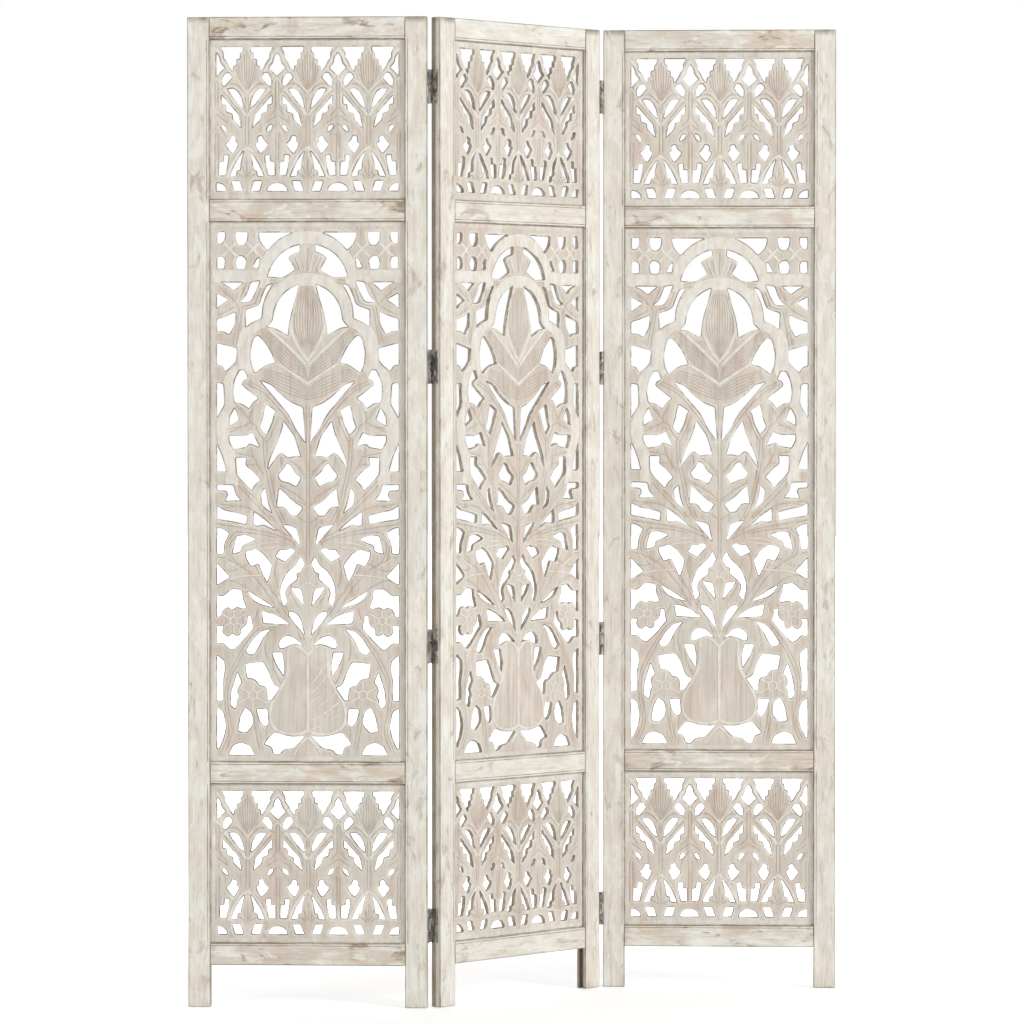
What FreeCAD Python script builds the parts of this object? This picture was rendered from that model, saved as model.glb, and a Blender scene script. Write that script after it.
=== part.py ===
import FreeCAD, Part
import math
import os

# Carved three-panel folding screen: each panel is a jointed frame round three pierced boards.
# Millimetres, +Z up, +X along the opened screen, +Y away from the viewer.
# The origin is on the floor, in the middle of the screen as it stands folded.

Vector = FreeCAD.Vector

# Panel frame
panel_width = 400.0
panel_height = 1650.0
frame_thickness = 20.0
stile_width = 37.0
rail_width = 37.0
leg_height = 70.0
end_opening_height = 266.0

# Frame joints
tenon_length = 22.0
tenon_thickness = 8.0
tenon_margin = 2.0
tenon_clearance = 0.1

# Pierced boards and the grooves that hold them
board_thickness = 8.0
groove_depth = 5.0
groove_clearance = 0.15
board_play = 0.5
side_border = 11.0
middle_foot_border = 11.0
middle_head_border = 18.0
end_foot_border = 13.0
end_head_border = 12.0

# Hinges between the panels
hinge_count = 4
hinge_length = 57.0
hinge_foot_inset = 136.0
hinge_head_inset = 115.0
leaf_thickness = 1.8
leaf_width = 15.0
leaf_gap = 0.4
pin_offset = 3.0
knuckle_diameter = 6.0
knuckle_sides = 8
knuckle_clearance = 0.4
pin_diameter = 3.0
pin_clearance = 0.05

# Angle through which each neighbour is turned as the screen stands
rest_fold = 50.0

# Drawing of the middle board: right half, mirrored on the centre line. Each opening is a run of
# corners, clockwise: distance from the centre line, height above the floor, and the bow of the
# edge to the next corner where that edge is round (positive swells the opening).
MIDDLE_DRAWN_HALF_WIDTH = 152.0
MIDDLE_DRAWN_FOOT = 421.0
MIDDLE_DRAWN_HEAD = 1292.0
MIDDLE_OPENINGS = [
    # Petal lattice in the upper corner
    [(139, 1292), (152, 1292), (152, 1271), (143, 1271)],
    [(101, 1292), (120, 1292), (118, 1271), (104, 1271)],
    [(140, 1252), (152, 1252), (152, 1231), (141, 1231)],
    [(105, 1250), (119, 1250), (117, 1231), (105, 1231)],
    # Over and under the round upper arch, beside the palmette
    [(26, 1292), (82, 1292), (66, 1263), (48, 1280)],
    [(14, 1272, 11.8), (66, 1219), (39, 1214), (20, 1226), (33, 1249)],
    # Sprig below the bar
    [(106, 1208), (143, 1208), (122, 1190)],
    [(76, 1213), (97, 1209), (113, 1177), (92, 1182)],
    [(131, 1176), (152, 1197), (152, 1166)],
    [(120, 1160), (152, 1148), (152, 1128), (131, 1122)],
    # Cusped arch, outside its lobes
    [(64, 1199), (82, 1170), (103, 1161), (103, 1138), (78, 1147)],
    [(118, 1099), (152, 1108), (152, 1072), (138, 1061), (119, 1079)],
    [(141, 1040), (152, 1042), (152, 984), (139, 1006)],
    [(152, 940), (152, 894), (136, 894)],
    # Round the lotus
    [(14, 1204, 13.2), (58, 1144), (68, 1135), (33, 1121)],
    [(84, 1121), (95, 1090), (90, 1060), (54, 1075)],
    [(79, 1045), (45, 1005), (4, 942), (8, 1001), (28, 1008)],
    # Trefoil leaves inside the cusped arch
    [(109, 1064), (124, 1043), (122, 1010), (99, 1000), (85, 1014), (111, 1039)],
    [(92, 959), (131, 954), (124, 931), (83, 936)],
    [(70, 1003), (80, 967), (70, 949), (54, 990)],
    [(79, 880), (105, 904), (102, 917), (120, 917), (94, 862)],
    # Paired leaves on the middle stem
    [(40, 978), (67, 898), (47, 926), (33, 917), (12, 919)],
    [(38, 906), (49, 880), (18, 869), (11, 881)],
    [(47, 858), (52, 838), (30, 821), (9, 830)],
    [(18, 799), (43, 805), (13, 771)],
    # Spreading branches
    [(124, 871), (152, 872), (139, 845), (112, 846)],
    [(101, 820), (152, 837), (152, 815), (103, 806)],
    [(53, 795), (90, 823), (86, 803)],
    [(131, 791), (152, 801), (152, 757), (141, 757)],
    [(87, 782), (119, 785), (125, 757), (112, 756), (111, 769)],
    # Acanthus leaves and the small flower
    [(76, 758), (100, 760), (96, 735), (69, 712), (62, 735)],
    [(152, 741), (152, 705), (131, 718)],
    [(13, 751), (35, 722), (46, 697), (41, 670), (36, 698), (11, 728)],
    [(6, 621), (12, 648), (31, 661), (24, 644)],
    [(34, 638), (52, 653), (77, 660), (73, 640)],
    # Round the upper rosette
    [(110, 696), (127, 698), (152, 687), (152, 651), (138, 667), (103, 666)],
    [(95, 653), (118, 620), (137, 621), (152, 636), (152, 607), (130, 596), (91, 634)],
    # Shoulder of the vase
    [(60, 629), (84, 617), (100, 592), (87, 589)],
    [(7, 604), (32, 618), (48, 606), (44, 599)],
    [(43, 591), (59, 590), (42, 555)],
    # Round the lower rosette
    [(76, 574), (104, 571), (100, 548), (62, 535)],
    [(118, 559), (130, 515), (122, 498), (112, 544)],
    [(140, 578), (152, 587), (152, 511), (142, 512)],
    [(152, 499), (152, 431), (139, 455), (139, 482)],
    [(105, 500), (117, 461), (93, 466), (95, 493)],
    # Foot of the vase
    [(90, 421), (97, 436), (112, 442), (126, 436), (133, 421)],
    [(12, 452), (58, 457), (72, 441), (59, 434), (58, 422), (25, 432)],
]

# Drawing of an end board: three palmette columns, each mirrored on its own line, with ogee
# openings on the lines between them. Distances are from the column's line or the ogee's line.
END_DRAWN_COLUMN = 101.4
END_DRAWN_FOOT = 120.0
END_DRAWN_HEAD = 361.0
end_columns = 3
COLUMN_OPENINGS = [
    # Beside the upper palmette
    [(6, 361), (44, 361), (24, 326), (13, 343)],
    # Tall leaves
    [(6, 265), (15, 292), (31, 293)],
    [(9, 228), (14, 252), (42, 282), (33, 254)],
    [(24, 217), (31, 204), (24, 188), (16, 203)],
    # Beside the lower palmette
    [(6, 190), (28, 150), (14, 152)],
    [(30, 181), (44, 170), (47, 147), (36, 147)],
]
OGEE_HALF_OPENINGS = [
    # Kite under the ogee head, and half round at the foot
    [(0, 350), (10, 330), (0, 319)],
    [(0, 135), (12, 131), (17.5, 121), (0, 121)],
]

# Heights worked out from the driving sizes
half_thickness = frame_thickness / 2
opening_width = panel_width - 2 * stile_width
bottom_rail_z = leg_height
lower_rail_z = bottom_rail_z + rail_width + end_opening_height
top_rail_z = panel_height - rail_width
upper_rail_z = top_rail_z - end_opening_height - rail_width
rail_heights = {
    "bottom_rail": bottom_rail_z,
    "lower_mid_rail": lower_rail_z,
    "upper_mid_rail": upper_rail_z,
    "top_rail": top_rail_z,
}
rail_grooves = {
    "bottom_rail": (False, True),
    "lower_mid_rail": (True, True),
    "upper_mid_rail": (True, True),
    "top_rail": (True, False),
}
opening_spans = {
    "bottom_fretwork": (bottom_rail_z + rail_width, lower_rail_z),
    "middle_fretwork": (lower_rail_z + rail_width, upper_rail_z),
    "top_fretwork": (upper_rail_z + rail_width, top_rail_z),
}
groove_width = board_thickness + 2 * groove_clearance
tenon_shoulder = groove_depth + tenon_margin
fold_gap = 2 * leaf_thickness + leaf_gap
pin_reach = half_thickness + pin_offset
hinge_step = (panel_height - hinge_head_inset - hinge_foot_inset) / (hinge_count - 1)


def box(x0, x1, y0, y1, z0, z1):
    return Part.makeBox(x1 - x0, y1 - y0, z1 - z0, Vector(x0, y0, z0))


# Stile: a long post with a mortise for each rail and a groove for the boards that runs out at its foot.
def make_stile(edge, inward):
    inner = edge + inward * stile_width
    post = box(min(edge, inner), max(edge, inner), -half_thickness, half_thickness, 0, panel_height)
    mortise_floor = inner - inward * (tenon_length + tenon_clearance)
    mortise_half = tenon_thickness / 2 + tenon_clearance
    for z in rail_heights.values():
        low = z + tenon_shoulder - tenon_clearance
        high = z + rail_width - tenon_shoulder + tenon_clearance
        post = post.cut(box(min(inner, mortise_floor), max(inner, mortise_floor),
                            -mortise_half, mortise_half, low, high))
    groove_floor = inner - inward * groove_depth
    groove_top = top_rail_z + groove_depth
    groove = box(min(inner, groove_floor), max(inner, groove_floor),
                 -groove_width / 2, groove_width / 2, 0, groove_top)
    return post.cut(groove).removeSplitter()


# Rail: a cross bar with a tenon at each end and grooves for the boards it borders.
def make_rail(z, groove_below, groove_above):
    x0 = stile_width
    x1 = panel_width - stile_width
    bar = box(x0, x1, -half_thickness, half_thickness, z, z + rail_width)
    tenon_half = tenon_thickness / 2
    tenon_low = z + tenon_shoulder
    tenon_high = z + rail_width - tenon_shoulder
    tenons = box(x0 - tenon_length, x1 + tenon_length, -tenon_half, tenon_half, tenon_low, tenon_high)
    bar = bar.fuse(tenons)
    half_groove = groove_width / 2
    if groove_below:
        bar = bar.cut(box(x0, x1, -half_groove, half_groove, z, z + groove_depth))
    if groove_above:
        top = z + rail_width
        bar = bar.cut(box(x0, x1, -half_groove, half_groove, top - groove_depth, top))
    return bar.removeSplitter()


# One opening of the fretwork as a closed wire; place maps a drawn point to the board.
def opening_wire(corners, place, hand):
    edges = []
    for index, corner in enumerate(corners):
        following = corners[(index + 1) % len(corners)]
        start = Vector(corner[0], 0, corner[1])
        end = Vector(following[0], 0, following[1])
        if len(corner) > 2:
            run = end.sub(start)
            swell = Vector(-run.z, 0, run.x).normalize().multiply(corner[2])
            crown = start.add(end).multiply(0.5).add(swell)
            edge = Part.Arc(place(start, hand), place(crown, hand), place(end, hand)).toShape()
        else:
            edge = Part.LineSegment(place(start, hand), place(end, hand)).toShape()
        edges.append(edge)
    return Part.Wire(edges)


# A board that fills its grooves, rests on the lower one, and is sawn through at each opening.
def pierced_board(low, high, openings):
    x0 = stile_width - groove_depth + board_play
    x1 = panel_width - stile_width + groove_depth - board_play
    z0 = low - groove_depth
    z1 = high + groove_depth - board_play
    outline = Part.makePolygon([Vector(x0, 0, z0), Vector(x1, 0, z0), Vector(x1, 0, z1),
                                Vector(x0, 0, z1), Vector(x0, 0, z0)])
    face = Part.makeFace([outline] + openings, "Part::FaceMakerBullseye")
    face.translate(Vector(0, -board_thickness / 2, 0))
    return face.extrude(Vector(0, board_thickness, 0))


def make_middle_board(low, high):
    half_field = opening_width / 2 - side_border
    stretch_x = half_field / MIDDLE_DRAWN_HALF_WIDTH
    foot = low + middle_foot_border
    head = high - middle_head_border
    stretch_z = (head - foot) / (MIDDLE_DRAWN_HEAD - MIDDLE_DRAWN_FOOT)

    def place(point, hand):
        x = panel_width / 2 + hand * point.x * stretch_x
        return Vector(x, 0, foot + (point.z - MIDDLE_DRAWN_FOOT) * stretch_z)

    openings = []
    for hand in (-1, 1):
        for corners in MIDDLE_OPENINGS:
            openings.append(opening_wire(corners, place, hand))
    return pierced_board(low, high, openings)


def make_end_board(low, high):
    field = opening_width - 2 * side_border
    column = field / end_columns
    stretch_x = column / END_DRAWN_COLUMN
    foot = low + end_foot_border
    head = high - end_head_border
    stretch_z = (head - foot) / (END_DRAWN_HEAD - END_DRAWN_FOOT)
    openings = []

    def place_from(line):
        def place(point, hand):
            x = panel_width / 2 + line + hand * point.x * stretch_x
            return Vector(x, 0, foot + (point.z - END_DRAWN_FOOT) * stretch_z)
        return place

    for number in range(end_columns):
        place = place_from((number - (end_columns - 1) / 2) * column)
        for hand in (-1, 1):
            for corners in COLUMN_OPENINGS:
                openings.append(opening_wire(corners, place, hand))
    for number in range(end_columns + 1):
        place = place_from((number - end_columns / 2) * column)
        for half in OGEE_HALF_OPENINGS:
            if number == 0:
                openings.append(opening_wire(half, place, 1))
            elif number == end_columns:
                openings.append(opening_wire(half, place, -1))
            else:
                other_half = [(-x, z) for x, z in reversed(half) if x > 0]
                openings.append(opening_wire(half + other_half, place, 1))
    return pierced_board(low, high, openings)


# Upright many-sided bar with its corners on a circle.
def many_sided_bar(corner_radius, foot, height):
    corners = []
    for number in range(knuckle_sides + 1):
        angle = 2 * math.pi * (number + 0.5) / knuckle_sides
        corners.append(foot.add(Vector(corner_radius * math.cos(angle), corner_radius * math.sin(angle), 0)))
    return Part.Face(Part.makePolygon(corners)).extrude(Vector(0, 0, height))


# Hinge leaf on a panel's edge, with its share of the knuckles, in the panel's own frame.
# edge is -1 for the left edge or 1 for the right; face is -1 for the front or 1 for the back.
def make_leaf(edge, face, middle, knuckle_spans):
    edge_x = panel_width if edge > 0 else 0.0
    plate_x = sorted((edge_x, edge_x + edge * leaf_thickness))
    axis_x = edge_x + edge * fold_gap / 2
    knuckle_radius = knuckle_diameter / 2
    plate_reach = pin_reach - knuckle_radius - knuckle_clearance
    plate_y = sorted((face * plate_reach, face * (plate_reach - leaf_width)))
    neck_y = sorted((face * plate_reach, face * pin_reach))
    z0 = middle - hinge_length / 2
    leaf = box(plate_x[0], plate_x[1], plate_y[0], plate_y[1], z0, z0 + hinge_length)
    for low, high in knuckle_spans:
        axis_foot = Vector(axis_x, face * pin_reach, z0 + low)
        neck = box(plate_x[0], plate_x[1], neck_y[0], neck_y[1], z0 + low, z0 + high)
        barrel = many_sided_bar(knuckle_radius, axis_foot, high - low)
        leaf = leaf.fuse(neck).fuse(barrel)
    bore_radius = (pin_diameter / 2 + pin_clearance) / math.cos(math.pi / knuckle_sides)
    bore = many_sided_bar(bore_radius, Vector(axis_x, face * pin_reach, z0), hinge_length)
    return leaf.cut(bore).removeSplitter()


def make_pin(edge, face, middle):
    edge_x = panel_width if edge > 0 else 0.0
    foot = Vector(edge_x + edge * fold_gap / 2, face * pin_reach, middle - hinge_length / 2)
    return Part.makeCylinder(pin_diameter / 2, hinge_length, foot)


knuckle_length = (hinge_length - 2 * knuckle_clearance) / 3
outer_knuckles = [(0.0, knuckle_length), (hinge_length - knuckle_length, hinge_length)]
inner_knuckles = [(knuckle_length + knuckle_clearance, 2 * knuckle_length + knuckle_clearance)]
hinge_heights = [hinge_foot_inset + number * hinge_step for number in range(hinge_count)]


def leaf_set(edge, face, knuckle_spans):
    return Part.makeCompound([make_leaf(edge, face, z, knuckle_spans) for z in hinge_heights])


def pin_set(edge, face):
    return Part.makeCompound([make_pin(edge, face, z) for z in hinge_heights])


# The pieces of one panel in its own frame: x from its left edge, y from its mid plane.
def make_panel():
    pieces = {
        "left_stile": make_stile(0.0, 1),
        "right_stile": make_stile(panel_width, -1),
    }
    for name, z in rail_heights.items():
        below, above = rail_grooves[name]
        pieces[name] = make_rail(z, below, above)
    for name, (low, high) in opening_spans.items():
        maker = make_middle_board if name == "middle_fretwork" else make_end_board
        pieces[name] = maker(low, high)
    return pieces


# Where each panel stands: the middle one turned about the left fold's pins, the right one back.
turn = math.radians(rest_fold)
left_pin = Vector(panel_width + fold_gap / 2, pin_reach, 0)
span = panel_width + fold_gap
across = -2 * pin_reach
right_pin = left_pin.add(Vector(span * math.cos(turn) - across * math.sin(turn),
                                span * math.sin(turn) + across * math.cos(turn), 0))
right_start = right_pin.add(Vector(fold_gap / 2, pin_reach, 0))
middle_of_screen = Vector((right_start.x + panel_width) / 2, right_start.y / 2, 0)


def stand_left(shape):
    shape.translate(middle_of_screen.negative())


def stand_middle(shape):
    shape.translate(left_pin.sub(Vector(-fold_gap / 2, pin_reach, 0)))
    shape.rotate(left_pin, Vector(0, 0, 1), rest_fold)
    shape.translate(middle_of_screen.negative())


def stand_right(shape):
    shape.translate(right_start.sub(middle_of_screen))


stands = {"left": stand_left, "middle": stand_middle, "right": stand_right}
hardware = {
    "left_fold_outer_leaves": ("left", leaf_set(1, 1, outer_knuckles)),
    "left_fold_pins": ("left", pin_set(1, 1)),
    "left_fold_inner_leaves": ("middle", leaf_set(-1, 1, inner_knuckles)),
    "right_fold_outer_leaves": ("middle", leaf_set(1, -1, outer_knuckles)),
    "right_fold_pins": ("middle", pin_set(1, -1)),
    "right_fold_inner_leaves": ("right", leaf_set(-1, -1, inner_knuckles)),
}

os.makedirs("parts", exist_ok=True)
panel_pieces = make_panel()
for panel, stand in stands.items():
    for name, piece in panel_pieces.items():
        shape = piece.copy()
        stand(shape)
        shape.exportStep(f"parts/{panel}_{name}.step")
for name, (panel, shape) in hardware.items():
    stands[panel](shape)
    shape.exportStep(f"parts/{name}.step")

print("left fold axis", left_pin.sub(middle_of_screen))
print("right fold axis", right_pin.sub(middle_of_screen))
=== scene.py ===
import math
from collections import namedtuple

import bpy
import numpy as np
from mathutils import Matrix, Vector, noise
from mathutils.geometry import delaunay_2d_cdt
from mathutils.kdtree import KDTree


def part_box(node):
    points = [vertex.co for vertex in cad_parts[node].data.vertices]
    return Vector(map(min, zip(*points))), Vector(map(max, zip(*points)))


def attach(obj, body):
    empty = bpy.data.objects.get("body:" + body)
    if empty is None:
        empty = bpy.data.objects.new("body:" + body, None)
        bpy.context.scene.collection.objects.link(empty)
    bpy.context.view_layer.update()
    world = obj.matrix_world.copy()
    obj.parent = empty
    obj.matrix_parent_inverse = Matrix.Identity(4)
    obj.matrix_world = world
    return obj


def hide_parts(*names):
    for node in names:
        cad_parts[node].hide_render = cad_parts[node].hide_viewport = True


# Carved three-panel folding screen in whitewashed, distressed wood.
# Drawings are in millimetres, in a panel's own frame: x from its centre line, y from its mid plane
# (front negative), z above the floor. Meshes are in metres.

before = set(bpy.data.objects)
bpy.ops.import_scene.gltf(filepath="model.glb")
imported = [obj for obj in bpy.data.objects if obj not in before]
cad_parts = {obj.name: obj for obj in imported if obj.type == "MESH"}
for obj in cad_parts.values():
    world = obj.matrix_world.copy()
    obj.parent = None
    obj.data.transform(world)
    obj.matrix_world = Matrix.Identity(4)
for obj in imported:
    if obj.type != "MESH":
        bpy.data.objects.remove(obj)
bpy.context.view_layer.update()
MM = 0.001
PANELS = ("left", "middle", "right")


# Places taken from the frame

def node_box(node):
    low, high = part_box(node)
    return Vector(low) / MM, Vector(high) / MM


def panel_place(panel):
    """Where a panel stands: from its own frame to the scene."""
    left = sum(node_box(f"{panel}_left_stile"), Vector()) / 2
    right = sum(node_box(f"{panel}_right_stile"), Vector()) / 2
    across = right - left
    centre = (left + right) / 2 * MM
    turn = math.atan2(across.y, across.x)
    return Matrix.Translation((centre.x, centre.y, 0)) @ Matrix.Rotation(turn, 4, "Z")


# The left panel stands square to the frame, so its boxes give every panel's sizes.
left_centre = sum(node_box("left_left_stile") + node_box("left_right_stile"), Vector()) / 4


def local_box(piece):
    low, high = node_box("left_" + piece)
    shift = Vector((left_centre.x, left_centre.y, 0))
    return low - shift, high - shift


HALF_WIDTH = local_box("right_stile")[1].x
STILE_INNER = local_box("right_stile")[0].x
HALF_THICKNESS = local_box("right_stile")[1].y
PANEL_HEIGHT = local_box("right_stile")[1].z
RAILS = {name: local_box(name) for name in ("bottom_rail", "lower_mid_rail", "upper_mid_rail", "top_rail")}
OPENING_SPANS = [
    (RAILS["bottom_rail"][1].z, RAILS["lower_mid_rail"][0].z),
    (RAILS["lower_mid_rail"][1].z, RAILS["upper_mid_rail"][0].z),
    (RAILS["upper_mid_rail"][1].z, RAILS["top_rail"][0].z),
]

# Middle board, right half; the left half is its mirror image. Each opening is a run of corners,
# clockwise, with the bow of the edge to the next corner where that edge is round.
MIDDLE_OPENINGS = [
    # Petal lattice in the upper corner
    [(138, 1293), (151, 1293), (151, 1274), (144, 1273), (138, 1281)],
    [(100, 1293), (121, 1293), (120, 1279), (115, 1271), (106, 1271), (101, 1279)],
    [(138, 1246), (142, 1252), (151, 1252), (151, 1232), (139, 1232)],
    [(102, 1246), (108, 1253), (117, 1253), (121, 1243), (118, 1231), (105, 1231)],
    [(80, 1250), (84, 1249), (92, 1234), (82, 1233)],
    # Over and under the round upper arch, beside the palmette
    [(26, 1292), (82, 1292), (80, 1279), (74, 1270), (66, 1263, -3.7)],
    [(13, 1272, 11.5), (67, 1219), (46, 1217), (38, 1219), (21, 1230), (33, 1251), (20, 1258),
     (13, 1260)],
    # Sprig below the bar
    [(108, 1209), (145, 1209), (134, 1204), (123, 1195), (117, 1201)],
    [(80, 1211), (95, 1209), (99, 1196), (105, 1184), (114, 1177), (103, 1176), (95, 1178), (87, 1193)],
    [(132, 1180), (152, 1191), (152, 1166), (142, 1174)],
    [(120, 1160), (135, 1153), (152, 1148), (152, 1128), (140, 1128), (131, 1122), (121, 1140)],
    # Cusped arch, outside its lobes
    [(59, 1206), (68, 1204), (75, 1188), (80, 1172), (92, 1167), (104, 1163), (103, 1135), (91, 1144),
     (77, 1149), (76, 1168), (70, 1187)],
    [(118, 1099), (129, 1102), (152, 1108), (152, 1072), (143, 1071), (138, 1061), (130, 1067),
     (119, 1079)],
    [(141, 1040), (152, 1042), (152, 984), (139, 1006)],
    [(152, 940), (152, 894), (136, 894), (142, 917)],
    # Round the lotus
    [(14, 1206, 13), (58, 1144), (68, 1135), (56, 1134), (33, 1121), (31, 1140), (27, 1160), (20, 1182)],
    [(83, 1121), (90, 1117), (96, 1092), (94, 1072), (88, 1058), (80, 1064), (68, 1073), (54, 1075),
     (62, 1094), (70, 1107)],
    [(79, 1045), (55, 1017), (45, 1005), (32, 990), (20, 965), (4, 942), (8, 1001), (25, 1007),
     (45, 1022), (60, 1038)],
    # Trefoil leaves inside the cusped arch
    [(106, 1063), (114, 1063), (122, 1046), (125, 1028), (122, 1009), (111, 1008), (98, 999),
     (92, 1009), (82, 1016), (97, 1027), (111, 1039), (108, 1046), (100, 1049)],
    [(122, 1000), (131, 984), (131, 970), (114, 980)],
    [(92, 959), (106, 953), (131, 954), (131, 944), (124, 931), (102, 935), (98, 941), (81, 935)],
    [(53, 995), (70, 1006), (73, 996), (75, 982), (81, 967), (70, 955), (60, 974), (57, 988)],
    [(79, 880), (94, 897), (105, 904), (102, 917), (120, 917), (119, 890), (112, 881), (94, 862),
     (88, 873)],
    # Paired leaves on the middle stem
    [(40, 978), (44, 960), (62, 918), (67, 898), (50, 922), (44, 926), (33, 917), (22, 920), (12, 919),
     (22, 952)],
    [(27, 903), (35, 908), (42, 897), (50, 888), (44, 878), (32, 876), (19, 869), (11, 884), (22, 892)],
    [(25, 844), (38, 858), (48, 866), (52, 835), (39, 836), (29, 821), (18, 820), (8, 834)],
    [(18, 799), (30, 804), (43, 805), (13, 771)],
    # Spreading branches
    [(71, 867), (79, 858), (76, 838), (60, 825), (67, 842)],
    [(124, 871), (152, 872), (152, 863), (136, 862), (133, 855), (139, 845), (112, 846), (122, 858)],
    [(101, 820), (118, 825), (140, 829), (152, 837), (152, 815), (126, 811), (103, 806)],
    [(52, 795), (66, 809), (90, 827), (91, 805), (82, 803), (74, 806)],
    [(131, 791), (141, 798), (152, 801), (152, 757), (141, 757), (140, 775)],
    [(87, 781), (105, 788), (119, 786), (126, 757), (112, 761), (111, 771), (100, 775)],
    [(21, 762), (29, 767), (37, 762), (46, 764), (54, 752), (38, 744)],
    # Acanthus leaves and the small flower
    [(74, 756), (88, 765), (95, 761), (104, 760), (103, 750), (95, 736), (89, 739), (82, 741),
     (77, 727), (68, 710), (64, 722), (60, 738)],
    [(152, 741), (152, 705), (131, 718)],
    [(56, 667), (84, 685), (101, 694), (91, 679), (76, 672)],
    [(12, 752), (20, 737), (31, 729), (39, 718), (46, 700), (46, 684), (41, 669), (34, 677), (39, 690),
     (36, 700), (27, 708), (18, 715), (20, 725), (12, 726), (10, 733), (5, 739)],
    [(12, 698), (28, 701), (22, 689), (7, 671), (9, 686)],
    [(6, 621), (8, 632), (12, 648), (20, 658), (31, 661), (32, 655), (24, 644), (15, 633)],
    [(31, 639), (47, 651), (60, 657), (77, 661), (74, 641)],
    # Round the upper rosette
    [(110, 696), (127, 698), (142, 685), (152, 687), (152, 651), (146, 653), (143, 663), (134, 669),
     (127, 663), (119, 669), (109, 665), (103, 667), (109, 680)],
    [(95, 653), (101, 653), (101, 642), (107, 634), (112, 631), (112, 622), (119, 618), (126, 624),
     (133, 617), (141, 621), (144, 630), (141, 636), (152, 636), (152, 607), (141, 609), (134, 600),
     (126, 596), (112, 609), (100, 623), (91, 634), (94, 642)],
    # Shoulder of the vase
    [(63, 631), (79, 627), (92, 614), (104, 594), (97, 588), (89, 591), (83, 601), (77, 615)],
    [(9, 604), (24, 618), (37, 620), (47, 612), (48, 600), (42, 599), (30, 605), (20, 607)],
    [(43, 592), (60, 592), (54, 575), (41, 553), (39, 567)],
    # Round the lower rosette
    [(75, 576), (105, 573), (101, 549), (92, 549), (86, 545), (81, 537), (74, 537), (68, 531),
     (67, 512), (61, 513), (47, 533), (57, 537), (62, 549), (67, 563)],
    [(118, 559), (128, 528), (130, 504), (122, 498), (119, 506), (119, 514), (115, 519), (119, 526),
     (117, 535), (111, 542)],
    [(140, 578), (152, 587), (152, 511), (142, 512), (143, 542), (139, 562)],
    [(142, 493), (152, 499), (152, 431), (149, 432), (141, 450), (137, 468)],
    [(105, 500), (113, 485), (117, 461), (104, 458), (93, 470), (92, 480), (95, 493)],
    [(68, 498), (86, 497), (80, 476), (72, 468), (66, 474)],
    # Foot of the vase
    [(90, 421), (97, 436), (112, 442), (126, 436), (133, 421)],
    [(6, 452), (30, 451), (56, 459), (64, 451), (73, 439), (60, 435), (57, 422), (48, 422), (42, 430),
     (24, 433)],
]

# Lines carved into the middle board, right half, as points along each line.
# Stems carry a pair of dark ribs and leaves a dark vein; fine ridges and broad rims stand pale.
MIDDLE_STEMS = [
    [(0, 1003), (0, 870), (0, 740)],
    [(8, 945), (38, 990), (70, 1025), (100, 1042)],
    [(22, 775), (52, 832), (62, 870), (70, 910), (72, 945)],
    [(70, 945), (60, 965), (52, 985)],
    [(50, 1211), (70, 1207), (79, 1190), (86, 1172), (104, 1167)],
    [(112, 1165), (117, 1135), (122, 1108)],
    [(118, 580), (135, 540), (136, 500), (130, 460), (140, 430)],
    [(88, 490), (85, 460), (78, 430)],
    [(122, 788), (132, 775), (132, 755), (120, 735)],
    [(60, 632), (84, 626), (104, 602), (118, 580)],
    [(8, 612), (20, 640), (38, 664), (52, 690)],
]
MIDDLE_VEINS = [
    # Palmette under the upper arch, and the sprig
    [(0, 1230), (0, 1264)], [(13, 1229), (22, 1250)], [(17, 1229), (28, 1248)],
    [(118, 1172), (103, 1204)], [(123, 1178), (147, 1200)], [(124, 1168), (150, 1153)],
    # Trefoils
    [(72, 945), (80, 955), (86, 966)], [(84, 968), (98, 980), (88, 1008)], [(98, 980), (118, 1003)],
    [(98, 975), (128, 960)], [(75, 890), (90, 915), (97, 938)], [(90, 918), (122, 925)],
    [(85, 905), (103, 905)], [(102, 984), (112, 1000)], [(103, 970), (126, 966)],
    # Leaf pairs and branches
    [(2, 885), (14, 900), (30, 913)], [(3, 880), (20, 906)], [(3, 842), (24, 858), (46, 870)],
    [(3, 838), (30, 850), (44, 862)], [(3, 808), (18, 818), (34, 830)], [(44, 900), (46, 918)],
    [(55, 812), (85, 845), (117, 880)], [(60, 812), (90, 842), (118, 872)],
    [(70, 815), (100, 832), (150, 840)],
    [(80, 822), (110, 836), (146, 832)], [(55, 784), (84, 790), (120, 793)],
    [(55, 655), (90, 690), (130, 712), (150, 700)], [(70, 664), (100, 684), (106, 694)],
    [(58, 690), (80, 722), (92, 745)], [(62, 700), (76, 728), (80, 748)],
    [(50, 700), (56, 730), (48, 756)],
    [(100, 740), (128, 728), (150, 732)], [(36, 640), (60, 634), (76, 632)],
    [(66, 628), (72, 600), (68, 580)],
    [(74, 626), (80, 606), (88, 594)], [(30, 690), (28, 706), (14, 722)], [(16, 668), (28, 690)],
    [(60, 585), (56, 562), (46, 540)], [(62, 500), (70, 464), (70, 440)],
    [(50, 660), (75, 700), (110, 735), (150, 752)], [(108, 642), (90, 648), (84, 662)],
    [(20, 775), (60, 790), (110, 800), (150, 806)], [(26, 784), (44, 792), (56, 800)],
]
MIDDLE_RIDGES = [
    # Palmette, the fan of leaves over the vase, and the vase's foot
    [(4, 1228), (10, 1258)], [(10, 1227), (19, 1250)], [(0, 604), (8, 626), (20, 648)],
    [(0, 450), (12, 438), (22, 424)], [(4, 447), (30, 432), (48, 425)],
    # Folds of the spreading leaves
    [(48, 776), (76, 774), (104, 766)], [(50, 769), (80, 765), (104, 759)],
    [(70, 722), (120, 718), (148, 708)],
    [(116, 732), (140, 748)],
]
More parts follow.
